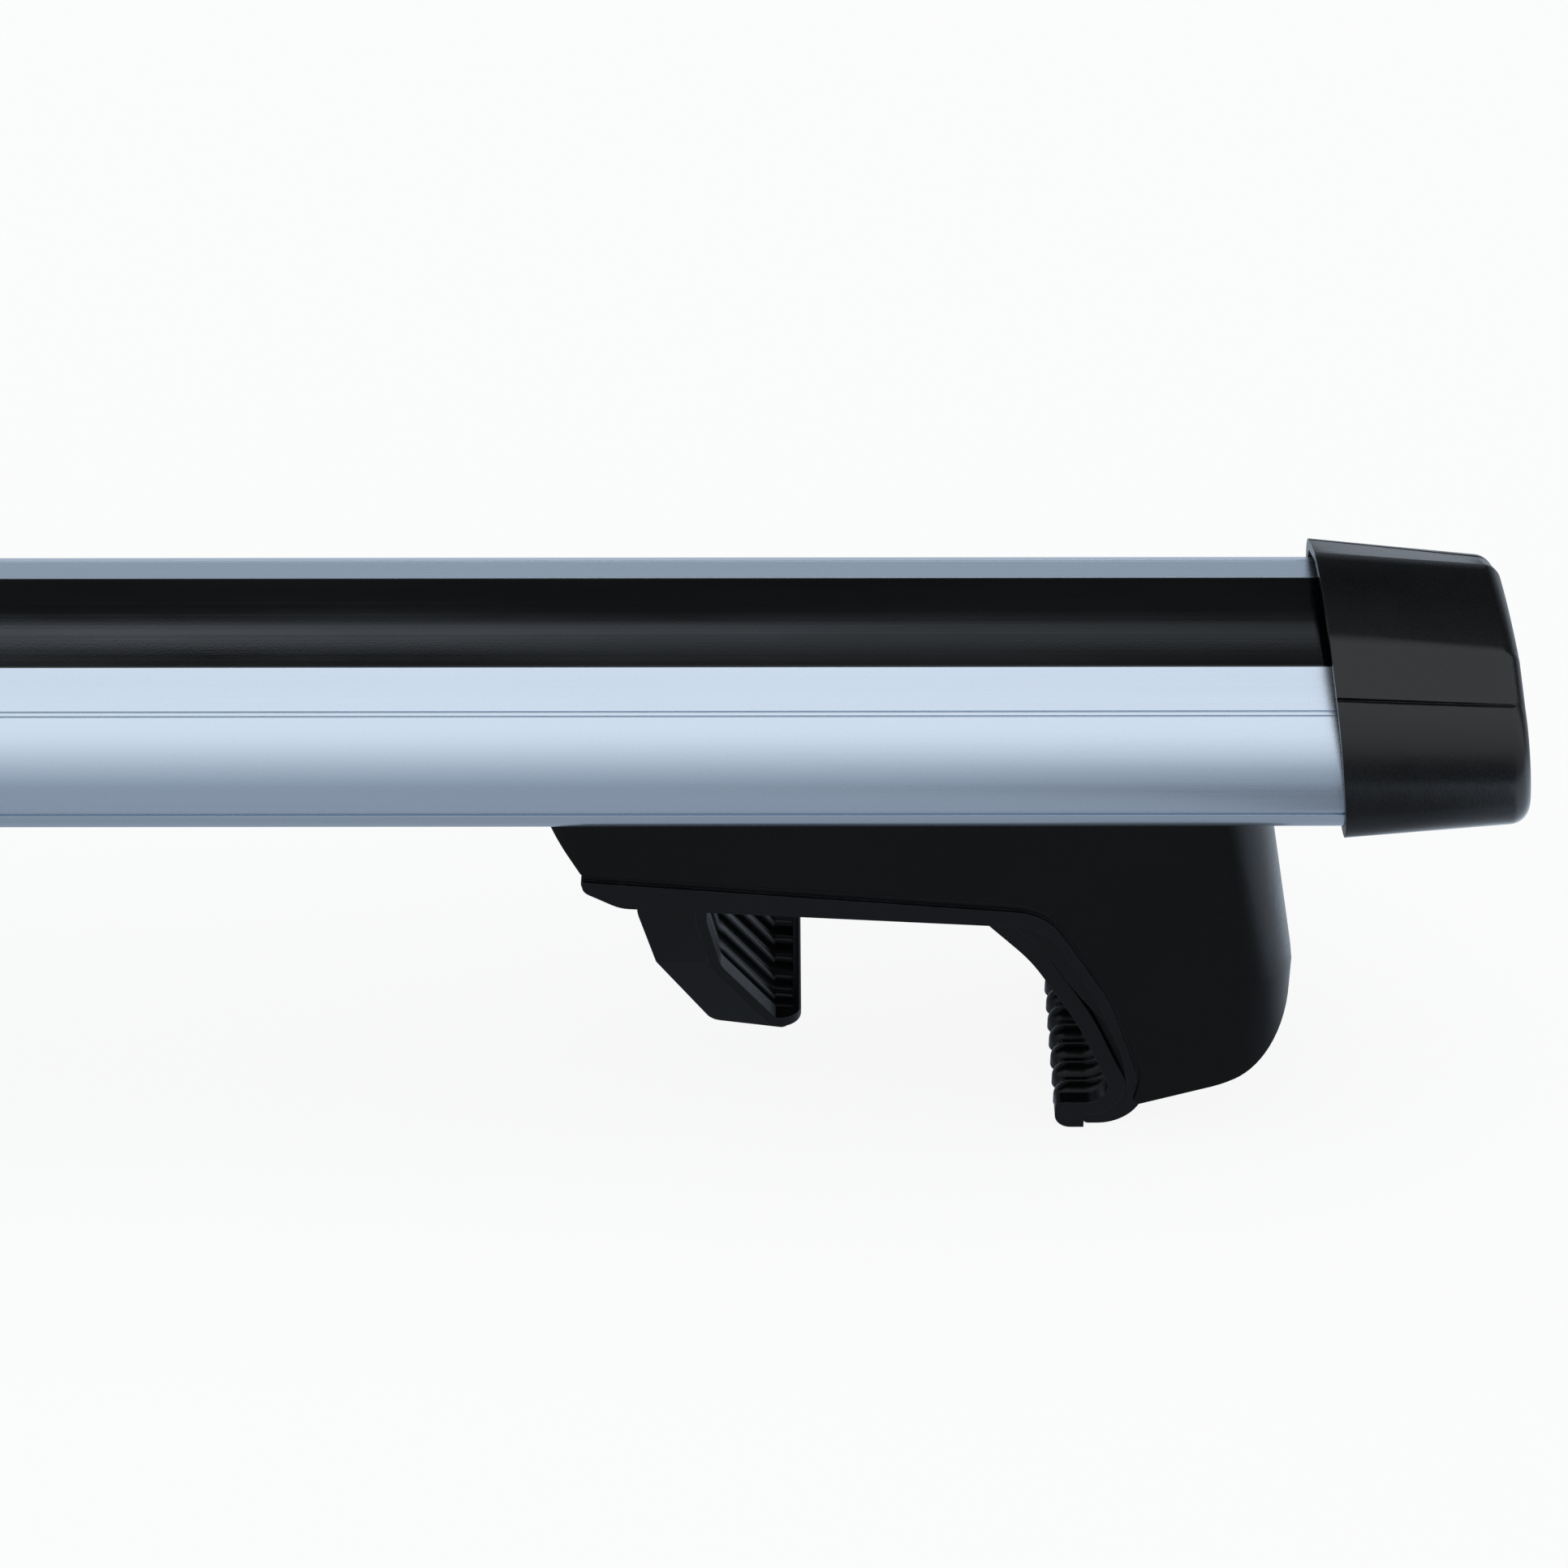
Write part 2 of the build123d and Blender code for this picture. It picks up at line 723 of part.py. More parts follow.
def make_washer():
    """Washer between the bolt's head and its stop."""
    start = wall_stop_x + wall_stop_thick
    body = rod_x(start, start + washer_thick, 0, bolt_z, washer_radius)
    return body - rod_x(start - 1, start + washer_thick + 1, 0, bolt_z, bolt_radius + running_gap)


def make_nut():
    """Captive nut in the claw's shank."""
    body = extrude(RegularPolygon(nut_flats / 2, 6, major_radius=False), amount=nut_thick)
    body = Pos(claw_x + slide_gap, 0, bolt_z) * (Rot(0, 90, 0) * body)
    reach = claw_x + slide_gap + nut_thick
    return body - rod_x(claw_x - 1, reach + 1, 0, bolt_z, bolt_radius + running_gap)


def screw_places():
    """Places of the two screws along the foot."""
    middle = slide_x + slide_length / 2 + screw_shift
    return [middle - screw_spacing / 2, middle + screw_spacing / 2]


def make_slide_plate():
    """Plate in the bar's lower slot that the foot is screwed to."""
    half = low_slot_width / 2 - slide_gap
    low = bar_lift + low_lip
    body = box(slide_x, slide_x + slide_length, -half, half, low, low + low_slot_depth - 2 * slide_gap)
    for x in screw_places():
        body -= rod_z(x, 0, low - 1, low + low_slot_depth, screw_radius)
    return body


def make_plate_screws():
    """Two screws from the frame up into the slide plate."""
    top = bar_lift + low_lip + low_slot_depth - 2 * slide_gap
    head_low = plate_low - screw_head_height
    screws = []
    for x in screw_places():
        screw = rod_z(x, 0, plate_low, top, screw_radius)
        screw += rod_z(x, 0, head_low, plate_low, screw_head_radius)
        key = Pos(x, 0, head_low) * extrude(RegularPolygon(2, 6, major_radius=False), amount=2)
        screws.append(screw - key)
    return Compound(children=screws)


def make_shell_screws():
    """One screw each side, through the frame's web into the shell's boss."""
    screws = []
    for side in (-1, 1):
        head = sorted((side * (web_inner - shell_screw_head_height), side * web_inner))
        shank = sorted((side * web_inner, side * (shell_half - shell_wall)))
        screw = rod_y(shell_screw_x, *head, shell_screw_z, shell_screw_head)
        screw += rod_y(shell_screw_x, *shank, shell_screw_z, shell_screw_radius)
        screws.append(screw)
    return Compound(children=screws)


def hinge_x():
    """Place of the door's hinge, its knuckle flush with the shell."""
    return wall_x(door_low) - hinge_radius - hinge_recess


def make_door():
    """Access door over the bolt's head, hinged along its lower edge."""
    low_x, high_x = wall_x(door_low), wall_x(door_high)
    panel = outline(
        (low_x - shell_wall, door_low, 0),
        (low_x, door_low, 0),
        (high_x, door_high, 0.6),
        (high_x - shell_wall, door_high, 0),
    )
    body = upright(panel, door_half)
    clear = hinge_radius + door_gap + 0.3
    knuckle = hinge_knuckle_half
    for side in (-1, 1):
        y_pair = sorted((side * knuckle, side * (door_half + 1)))
        body -= box(0, shell_length + 2, *y_pair, 0, door_low + clear)
    body += rod_y(hinge_x(), -knuckle, knuckle, door_low, hinge_radius)
    body -= rod_y(hinge_x(), -knuckle, knuckle, door_low, pin_radius + running_gap)
    return body - rod_x(0, shell_length + 5, 0, lock_z, lock_radius + running_gap)


def lock_face_x():
    """Place of the lock's visible face."""
    return wall_x(lock_z) + lock_proud


def make_lock():
    """Lock barrel with a plain key slot."""
    face_x = lock_face_x()
    body = rod_x(face_x - lock_length, face_x, 0, lock_z, lock_radius)
    slot_half, width_half = key_slot_length / 2, key_slot_width / 2
    depth_x = face_x - key_slot_depth
    return body - box(
        depth_x, face_x + 1, -width_half, width_half, lock_z - slot_half, lock_z + slot_half
    )


def make_cam():
    """Cam on the lock's inner end, turned aside so that the door is free."""
    back = lock_face_x() - lock_length
    half = cam_width / 2
    arm = box(back - cam_thick, back, -half, cam_reach, lock_z - half, lock_z + half)
    return fillet(arm.edges().filter_by(Axis.X), radius=half - 0.2)


def make_pin():
    """Hinge pin of the access door."""
    half = door_half + door_gap
    return rod_y(hinge_x(), -half, half, door_low, pin_radius)


foot_pieces = {
    "foot_shell": make_shell,
    "edge_trim": make_trim,
    "foot_frame": make_frame,
    "jaw_pad": make_jaw_pad,
    "claw": make_claw,
    "claw_pad": make_claw_pad,
    "clamp_bolt": make_bolt,
    "clamp_washer": make_washer,
    "clamp_nut": make_nut,
    "slide_plate": make_slide_plate,
    "plate_screws": make_plate_screws,
    "shell_screws": make_shell_screws,
    "lock_door": make_door,
    "door_pin": make_pin,
    "lock_barrel": make_lock,
    "lock_cam": make_cam,
}

export_step(make_bar(), "parts/bar_profile.step")
export_step(make_strip(), "parts/top_strip.step")
right_cap = make_cap()
export_step(right_cap, "parts/end_cap_right.step")
export_step(mirror(right_cap, about=Plane.YZ), "parts/end_cap_left.step")
for name, make in foot_pieces.items():
    piece = Pos(foot_x, 0, 0) * make()
    export_step(piece, f"parts/{name}_right.step")
    export_step(mirror(piece, about=Plane.YZ), f"parts/{name}_left.step")
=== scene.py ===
"""Dresses the roof rack crossbar: finishes for every piece, a pale studio with soft light, and the camera."""

import json
import math

import bpy
from bpy.props import FloatProperty, FloatVectorProperty, PointerProperty
from mathutils import Matrix, Vector

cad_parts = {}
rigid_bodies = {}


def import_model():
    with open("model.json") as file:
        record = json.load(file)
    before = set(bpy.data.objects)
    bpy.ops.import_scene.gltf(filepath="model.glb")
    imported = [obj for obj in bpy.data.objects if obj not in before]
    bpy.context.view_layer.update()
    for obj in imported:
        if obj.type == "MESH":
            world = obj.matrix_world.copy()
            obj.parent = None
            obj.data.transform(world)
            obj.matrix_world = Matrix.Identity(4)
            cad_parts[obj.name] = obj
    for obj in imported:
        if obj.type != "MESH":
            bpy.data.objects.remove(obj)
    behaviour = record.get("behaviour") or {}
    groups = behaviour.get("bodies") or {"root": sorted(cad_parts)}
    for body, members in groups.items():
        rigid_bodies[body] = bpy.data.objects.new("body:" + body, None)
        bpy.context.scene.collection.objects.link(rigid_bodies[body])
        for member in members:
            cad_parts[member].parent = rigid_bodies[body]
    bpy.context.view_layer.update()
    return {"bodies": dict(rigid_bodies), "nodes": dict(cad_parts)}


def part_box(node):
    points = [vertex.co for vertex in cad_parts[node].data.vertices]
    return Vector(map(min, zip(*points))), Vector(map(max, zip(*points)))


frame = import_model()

bl_info = {
    "name": "Roof Rack Crossbar",
    "version": (1, 0, 0),
    "blender": (4, 5, 0),
    "location": "3D View > Sidebar > Rack",
    "description": "Gives a wing-section roof bar and its feet their finishes, floor, light and camera",
    "category": "Object",
}

MM = 0.001
MICRON = 0.000001
SIDES = ("right", "left")

# Places that come from the frame
BAR_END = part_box("bar_profile")[1].x
BOLT_LOW, BOLT_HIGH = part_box("clamp_bolt_right")
BOLT_AXIS_Z = (BOLT_LOW.z + BOLT_HIGH.z) / 2

# Thread of the clamp bolts
THREAD_PITCH = 1.0 * MM
THREAD_DEPTH = 0.35 * MM

# How the solids' facets are joined and shaded
MERGE_DISTANCE = 2 * MICRON
SMOOTH_ANGLE = math.radians(24)

# Light round the bar's length: height from the horizon behind (0) over the top (0.5) to the horizon in front
# (1), brightness there, and how strongly the light's tint colours it
SKY_STOPS = (
    (0.0, 0.43, 4.0),
    (0.08, 0.22, 3.0),
    (0.15, 0.04, 1.0),
    (0.21, 0.06, 1.0),
    (0.29, 0.12, 1.0),
    (0.34, 1.0, 1.0),
    (0.50, 1.0, 1.0),
    (0.60, 0.95, 1.0),
    (0.74, 0.80, 1.5),
    (0.87, 0.60, 2.5),
    (1.0, 0.44, 4.0),
)

# Long low window in that light: its lower and upper border by height, its fade by the direction's X, and the
# share of its brightness that is left where the fade ends
WINDOW_FOOT = (0.200, 0.215)
WINDOW_HEAD = (0.227, 0.235)
WINDOW_FADE = (-0.15, 0.26)
WINDOW_LEFT_OVER = 0.08

# Dim gap in the low light towards the bar's right end: its upper border by distance from the top, its start
# and end by the direction's X, and how dark it is
GAP_BORDER = (0.28, 0.38)
GAP_START = (0.165, 0.235)
GAP_END = (0.35, 0.50)
GAP_DEPTH = 0.8

# Soft borders on the floor, in metres: at the bar's ends, before the feet, behind the bar and beside it
END_BORDER = (BAR_END - 15 * MM, BAR_END + 15 * MM)
NEAR_BORDER = (-0.165, -0.120)
BACK_BORDER = (-0.05, 0.15)
SIDE_BORDER = (0.58, 0.63)
SIDE_BACK_BORDER = (0.03, 0.12)
SIDE_SLANT = 0.3

# The floor lies just under the jaws' lips, and is this bright to the camera
FLOOR_DROP = 0.2 * MM
CAMERA_WHITE = 1.02


def colour(name, words, default):
    """A colour that the user can set in the panel."""
    return FloatVectorProperty(
        name=name, description=words, subtype="COLOR", size=3, min=0, max=1, default=default
    )


def share(name, words, default):
    """A number from 0 to 1 that the user can set in the panel."""
    return FloatProperty(name=name, description=words, subtype="FACTOR", min=0, max=1, default=default)


def length(name, words, default):
    """A size in metres that the user can set in the panel."""
    return FloatProperty(
        name=name, description=words, subtype="DISTANCE", unit="LENGTH", default=default, precision=5
    )


def angle(name, words, default):
    """An angle in radians that the user can set in the panel."""
    return FloatProperty(name=name, description=words, subtype="ANGLE", default=default)


class RackFinishes(bpy.types.PropertyGroup):
    """Colours and surface sizes of the crossbar's finishes."""

    anodised: colour("Anodised", "Satin anodised aluminium of the bar", (0.69, 0.775, 0.885))
    anodised_rough: share("Anodised roughness", "How much the anodised bar blurs what it mirrors", 0.27)
    extrusion_line: length("Extrusion line", "Spacing of the fine lines drawn along the bar", 0.35 * MM)
    strip: colour("Strip", "Rubber strip on top of the bar", (0.0016, 0.0020, 0.0026))
    strip_rough: share("Strip roughness", "How matt the rubber strip is", 0.09)
    cap: colour("Cap", "Plastic of the end caps", (0.0010, 0.0012, 0.0018))
    cap_rough: share("Cap roughness", "How matt the end caps are", 0.26)
    shell: colour("Shell", "Plastic of the foot covers", (0.0009, 0.0011, 0.0014))
    shell_rough: share("Shell roughness", "How matt the foot covers are", 0.28)
    grain: length("Mould grain", "Size of the grain moulded into the plastic", 0.45 * MM)
    trim: colour("Trim", "Soft trim along the foot covers' edge", (0.0020, 0.0024, 0.0032))
    trim_rough: share("Trim roughness", "How matt the soft trim is", 0.45)
    coating: colour("Coating", "Black coating of the steel frame and the claws", (0.0012, 0.0013, 0.0017))
    frame_rough: share("Frame roughness", "How matt the coated frame is", 0.42)
    claw_rough: share("Claw roughness", "How matt the coated claws are", 0.38)
    rubbed: colour("Rubbed edge", "Coated metal where an edge is rubbed", (0.05, 0.053, 0.065))
    pad: colour("Pad", "Rubber of the ribbed pads", (0.0022, 0.0024, 0.0029))
    pad_rough: share("Pad roughness", "How matt the ribbed pads are", 0.30)
    # Pale colour along the moulded edges: partly wear, partly a painted highlight along every edge
    burr_and_edge_highlight: colour("Burr", "Thin pale line where a moulded edge is worn or flashed", (0.07, 0.076, 0.095))
    zinc: colour("Zinc", "Plated steel of the bolts, screws and pins", (0.55, 0.56, 0.58))
    zinc_rough: share("Zinc roughness", "How much the plated screws blur what they mirror", 0.34)
    nickel: colour("Nickel", "Plated face of the locks", (0.60, 0.61, 0.62))
    nickel_rough: share("Nickel roughness", "How much the locks blur what they mirror", 0.22)
    plain_aluminium: colour("Plain aluminium", "Sawn aluminium of the slide plates", (0.66, 0.67, 0.69))
    plain_rough: share("Plain roughness", "How much the slide plates blur what they mirror", 0.4)


class RackStudio(bpy.types.PropertyGroup):
    """Light, floor and camera round the crossbar."""

    azimuth: angle("Azimuth", "Camera's turn from looking along +Y", math.radians(0.1))
    elevation: angle("Elevation", "Camera's height above the horizon", math.radians(38))
    distance: length("Distance", "From the camera to the point that it looks at", 0.87717)
    target: FloatVectorProperty(
        name="Target",
        description="Point that the camera looks at",
        subtype="XYZ",
        default=(0.45294, 0.0, 0.07311),
    )
    focal: FloatProperty(name="Focal length", description="Lens in millimetres", default=98.07, min=10)
    sensor: FloatProperty(name="Sensor", description="Sensor width in millimetres", default=36.0, min=1)
    tint: colour("Light tint", "Cool white of the studio light", (0.93, 0.965, 1.0))
    floor: colour("Floor", "Pale floor under the crossbar", (0.90, 0.90, 0.90))
    floor_white: share("Floor white", "How much white the camera sees over the floor's shadow", 0.88)
    floor_size: length("Floor size", "Side of the square floor", 16.0)
    window: share("Low window", "Brightness of the long low light behind the bar", 1.0)
    front_floor: share("Front floor", "Brightness of the floor in front, as gloss mirrors it", 0.40)
    floor_tint: colour("Floor tint", "Colour of the floor, as gloss mirrors it", (0.75, 0.86, 1.0))
    end_floor: share("End floor", "Brightness of the floor before the end caps, as gloss mirrors it", 0.12)
    near_floor: share("Near floor", "Brightness of the floor close to the feet, as gloss mirrors it", 0.35)
    side_floor: FloatProperty(
        name="Side floor",
        description="Brightness of the floor beyond the bar's ends, as gloss mirrors it",
        default=1.5,
        min=0,
    )
    back_floor: share("Back floor", "Brightness of the floor behind, as gloss mirrors it", 0.70)


def node(tree, kind, inputs=None, **settings):
    """Adds a shader node; an input is a value or another node's socket."""
    made = tree.nodes.new(kind)
    for key, value in settings.items():
        setattr(made, key, value)
    for key, value in (inputs or {}).items():
        if isinstance(value, bpy.types.NodeSocket):
            tree.links.new(value, made.inputs[key])
        else:
            made.inputs[key].default_value = value
    return made


def rgba(values, gain=1.0):
    """Colour with alpha, brightened by a factor."""
    return (*[min(1.0, value * gain) for value in values], 1.0)


def start_material(name):
    """New node material with its shader and output, and its object coordinates."""
    material = bpy.data.materials.new(name)
    material.use_nodes = True
    tree = material.node_tree
    tree.nodes.clear()
    shader = node(tree, "ShaderNodeBsdfPrincipled")
    output = node(tree, "ShaderNodeOutputMaterial")
    tree.links.new(shader.outputs["BSDF"], output.inputs["Surface"])
    place = node(tree, "ShaderNodeTexCoord").outputs["Object"]
    return material, tree, shader, place


def noise(tree, place, size, detail, rough, stretch=(1.0, 1.0, 1.0)):
    """Noise whose lumps are about size metres across, stretched along the axes."""
    scaled = node(tree, "ShaderNodeMapping", {"Vector": place, "Scale": [1.0 / s for s in stretch]})
    made = node(
        tree,
        "ShaderNodeTexNoise",
        {"Vector": scaled.outputs[0], "Scale": 1.0 / size, "Detail": detail, "Roughness": rough},
    )
    return made.outputs["Fac"]


def ramp(tree, value, low, high, out_low, out_high):
    """Value spread from one range to another, held at its ends."""
    return node(
        tree,
        "ShaderNodeMapRange",
        {"Value": value, "From Min": low, "From Max": high, "To Min": out_low, "To Max": out_high},
    ).outputs["Result"]


def math_node(tree, operation, first, second=0.0):
    """One sum on one or two values."""
    return node(tree, "ShaderNodeMath", {0: first, 1: second}, operation=operation).outputs[0]


def blend_colours(tree, amount, first, second):
    """Mix of two colours by an amount from 0 to 1."""
    mixed = node(tree, "ShaderNodeMix", data_type="RGBA")
    for socket, value in ((mixed.inputs[0], amount), (mixed.inputs[6], first), (mixed.inputs[7], second)):
        if isinstance(value, bpy.types.NodeSocket):
            tree.links.new(value, socket)
        else:
            socket.default_value = value
    return mixed.outputs[2]


def spread(tree, value, low, high):
    """Noise spread from low to high, with its rare extremes held."""
    return ramp(tree, value, 0.3, 0.7, low, high)


def mottled(tree, value, base, dark, pale):
    """Base colour that a noise varies between a darker and a paler shade of it."""
    return blend_colours(tree, ramp(tree, value, 0.35, 0.65, 0.0, 1.0), rgba(base, dark), rgba(base, pale))


def edge_mask(tree, width):
    """1 on edges within a width of a corner, 0 on faces, with the softened normal."""
    soft = node(tree, "ShaderNodeBevel", {"Radius": width}, samples=6).outputs["Normal"]
    true = node(tree, "ShaderNodeNewGeometry").outputs["Normal"]
    facing = node(tree, "ShaderNodeVectorMath", {0: soft, 1: true}, operation="DOT_PRODUCT").outputs["Value"]
    return ramp(tree, facing, 0.985, 0.86, 0.0, 1.0), soft


def bumped(tree, shader, normal, layers):
    """Stacks bump layers of (height value, depth in metres) on a normal."""
    for height, depth in layers:
        normal = node(
            tree, "ShaderNodeBump", {"Height": height, "Distance": depth, "Strength": 1.0, "Normal": normal}
        ).outputs["Normal"]
    tree.links.new(normal, shader.inputs["Normal"])


def moulded(name, base, rough, grain, depth, specular, edge, burr_and_edge_highlight=None):
    """Moulded plastic or rubber: fine grain, cloudy sheen, softened edges, and where given pale edges of wear
    and painted highlight.
    """
    material, tree, shader, place = start_material(name)
    wide = noise(tree, place, 30 * MM, detail=4.0, rough=0.6)
    fine = noise(tree, place, grain, detail=2.0, rough=0.5)
    speck = noise(tree, place, grain * 6.0, detail=3.0, rough=0.7)
    mask, soft = edge_mask(tree, edge)
    tone = mottled(tree, wide, base, dark=0.8, pale=1.25)
    tone = blend_colours(tree, ramp(tree, speck, 0.62, 0.80, 0.0, 0.55), tone, rgba(base, 2.4))
    # Pale edge colour: partly wear, partly a painted highlight along every edge
    if burr_and_edge_highlight is not None:
        worn = math_node(tree, "MULTIPLY", mask, ramp(tree, speck, 0.42, 0.66, 0.05, 0.55))
        tone = blend_colours(tree, worn, tone, rgba(burr_and_edge_highlight))
    tree.links.new(tone, shader.inputs["Base Color"])
    sheen = spread(tree, wide, rough - 0.035, rough + 0.045)
    sheen = math_node(tree, "ADD", sheen, spread(tree, fine, -0.03, 0.04))
    tree.links.new(sheen, shader.inputs["Roughness"])
    shader.inputs["Specular IOR Level"].default_value = specular
    bumped(tree, shader, soft, ((fine, depth), (wide, depth * 2.0)))
    return material


def anodised_bar(look):
    """Satin anodised extrusion with lines drawn along X, a fine etched grain, and a painted highlight on its
    edges.
    """
    material, tree, shader, place = start_material("anodised_bar")
    lines = noise(tree, place, look.extrusion_line, detail=3.0, rough=0.6, stretch=(900.0, 1.0, 1.0))
    bands = noise(tree, place, look.extrusion_line * 14, detail=3.0, rough=0.6, stretch=(400.0, 1.0, 1.0))
    grain = noise(tree, place, 0.4 * MM, detail=2.0, rough=0.6)
    cloud = noise(tree, place, 50 * MM, detail=3.0, rough=0.5, stretch=(3.0, 1.0, 1.0))
    mask, soft = edge_mask(tree, 0.22 * MM)
    tone = mottled(tree, bands, look.anodised, dark=0.985, pale=1.01)
    tone = blend_colours(tree, ramp(tree, grain, 0.60, 0.75, 0.0, 0.5), tone, rgba(look.anodised, 0.86))
    # Painted highlight: the bar's edges are painted paler
    tone = blend_colours(tree, math_node(tree, "MULTIPLY", mask, 0.5), tone, rgba(look.anodised, 1.2))
    tree.links.new(tone, shader.inputs["Base Color"])
    shader.inputs["Metallic"].default_value = 1.0
    rough = spread(tree, cloud, look.anodised_rough - 0.02, look.anodised_rough + 0.03)
    rough = math_node(tree, "ADD", rough, spread(tree, lines, -0.012, 0.012))
    tree.links.new(rough, shader.inputs["Roughness"])
    bumped(tree, shader, soft, ((lines, 1.2 * MICRON), (grain, 7.5 * MICRON)))
    return material


def strip_rubber(look):
    """Extruded rubber: faint lines along X, satin bloom and grain."""
    material, tree, shader, place = start_material("strip_rubber")
    lines = noise(tree, place, 0.6 * MM, detail=3.0, rough=0.6, stretch=(700.0, 1.0, 1.0))
    grain = noise(tree, place, 0.5 * MM, detail=2.0, rough=0.6)
    bloom = noise(tree, place, 22 * MM, detail=4.0, rough=0.6, stretch=(4.0, 1.0, 1.0))
    _, soft = edge_mask(tree, 0.5 * MM)
    tone = mottled(tree, bloom, look.strip, dark=0.8, pale=1.3)
    tree.links.new(tone, shader.inputs["Base Color"])
    rough = spread(tree, bloom, look.strip_rough - 0.03, look.strip_rough + 0.05)
    rough = math_node(tree, "ADD", rough, spread(tree, lines, -0.03, 0.04))
    tree.links.new(rough, shader.inputs["Roughness"])
    shader.inputs["Specular IOR Level"].default_value = 0.75
    bumped(tree, shader, soft, ((lines, 3 * MICRON), (grain, 5 * MICRON)))
    return material


def coated_steel(name, base, rough, rubbed):
    """Black coated metal with a fine orange peel and paler rubbed edges."""
    material, tree, shader, place = start_material(name)
    peel = noise(tree, place, 1.1 * MM, detail=2.0, rough=0.5)
    cloud = noise(tree, place, 25 * MM, detail=3.0, rough=0.6)
    mask, soft = edge_mask(tree, 0.4 * MM)
    tone = mottled(tree, cloud, base, dark=0.85, pale=1.25)
    worn = math_node(tree, "MULTIPLY", mask, ramp(tree, cloud, 0.45, 0.7, 0.05, 0.4))
    tone = blend_colours(tree, worn, tone, rgba(rubbed))
    tree.links.new(tone, shader.inputs["Base Color"])
    tree.links.new(spread(tree, peel, rough - 0.03, rough + 0.05), shader.inputs["Roughness"])
    shader.inputs["Specular IOR Level"].default_value = 0.3
    bumped(tree, shader, soft, ((peel, 12 * MICRON),))
    return material


def plated_steel(name, base, rough):
    """Plated steel with fine turning marks."""
    material, tree, shader, place = start_material(name)
    marks = noise(tree, place, 0.3 * MM, detail=3.0, rough=0.6, stretch=(1.0, 6.0, 6.0))
    cloud = noise(tree, place, 6 * MM, detail=3.0, rough=0.6)
    _, soft = edge_mask(tree, 0.2 * MM)
    tone = mottled(tree, cloud, base, dark=0.88, pale=1.05)
    tree.links.new(tone, shader.inputs["Base Color"])
    shader.inputs["Metallic"].default_value = 1.0
    tree.links.new(spread(tree, marks, rough - 0.05, rough + 0.06), shader.inputs["Roughness"])
    bumped(tree, shader, soft, ((marks, 6 * MICRON),))
    return material


def threaded_steel(look):
    """Plated steel with the clamp bolt's helical thread as bump, and painted shade in the thread's roots."""
    material, tree, shader, place = start_material("threaded_steel")
    parts = node(tree, "ShaderNodeSeparateXYZ", {"Vector": place}).outputs
    above = math_node(tree, "SUBTRACT", parts["Z"], BOLT_AXIS_Z)
    turn = math_node(tree, "ARCTAN2", above, parts["Y"])
    along = math_node(tree, "MULTIPLY", parts["X"], math.tau / THREAD_PITCH)
    wave = math_node(tree, "SINE", math_node(tree, "ADD", along, turn))
    crest = ramp(tree, wave, -1.0, 1.0, 0.0, 1.0)
    cloud = noise(tree, place, 5 * MM, detail=3.0, rough=0.6)
    _, soft = edge_mask(tree, 0.2 * MM)
    # Painted shade: the zinc is darker down in the thread's roots, and slightly paler on the crests as
    # painted highlight
    tone = blend_colours(tree, crest, rgba(look.zinc, 0.45), rgba(look.zinc, 1.05))
    tree.links.new(tone, shader.inputs["Base Color"])
    shader.inputs["Metallic"].default_value = 1.0
    tree.links.new(spread(tree, cloud, 0.26, 0.36), shader.inputs["Roughness"])
    bumped(tree, shader, soft, ((crest, THREAD_DEPTH),))
    return material


def smooth_group():
    """Node group that joins a solid's facets and shades them smooth up to an angle."""
    name = "smooth_facets"
    if name in bpy.data.node_groups:
        return bpy.data.node_groups[name]
    group = bpy.data.node_groups.new(name, "GeometryNodeTree")
    group.interface.new_socket("Geometry", in_out="INPUT", socket_type="NodeSocketGeometry")
    group.interface.new_socket("Geometry", in_out="OUTPUT", socket_type="NodeSocketGeometry")
    source = node(group, "NodeGroupInput")
    merged = node(
        group, "GeometryNodeMergeByDistance", {"Geometry": source.outputs[0], "Distance": MERGE_DISTANCE}
    )
    bend = node(group, "GeometryNodeInputMeshEdgeAngle").outputs["Unsigned Angle"]
    gentle = node(group, "FunctionNodeCompare", data_type="FLOAT", operation="LESS_THAN")
    group.links.new(bend, gentle.inputs[0])
    gentle.inputs[1].default_value = SMOOTH_ANGLE
    edges = node(
        group,
        "GeometryNodeSetShadeSmooth",
        {"Geometry": merged.outputs[0], "Shade Smooth": gentle.outputs[0]},
        domain="EDGE",
    )
    faces = node(group, "GeometryNodeSetShadeSmooth", {"Geometry": edges.outputs[0]}, domain="FACE")
    end = node(group, "NodeGroupOutput")
    group.links.new(faces.outputs[0], end.inputs[0])
    return group


def dress(name, material):
    """Gives a CAD node its finish and smooth shading."""
    piece = frame["nodes"][name]
    piece.data.materials.clear()
    piece.data.materials.append(material)
    # The facets' own normals would win over the smooth shading
    facet_normals = piece.data.attributes.get("custom_normal")
    if facet_normals is not None:
        piece.data.attributes.remove(facet_normals)
    piece.modifiers.new("smooth_facets", "NODES").node_group = smooth_group()


def dress_sides(names, material):
    """The same for the right and the left foot."""
    for name in names:
        for side in SIDES:
            dress(f"{name}_{side}", material)


class RACK_OT_bar(bpy.types.Operator):
    """Dress the anodised bar"""

    bl_idname = "rack.bar"
    bl_label = "Bar"

    def execute(self, context):
        dress("bar_profile", anodised_bar(context.scene.rack_finishes))
        return {"FINISHED"}


class RACK_OT_top_strip(bpy.types.Operator):
    """Dress the rubber strip on top of the bar"""

    bl_idname = "rack.top_strip"
    bl_label = "Top strip"

    def execute(self, context):
        dress("top_strip", strip_rubber(context.scene.rack_finishes))
        return {"FINISHED"}


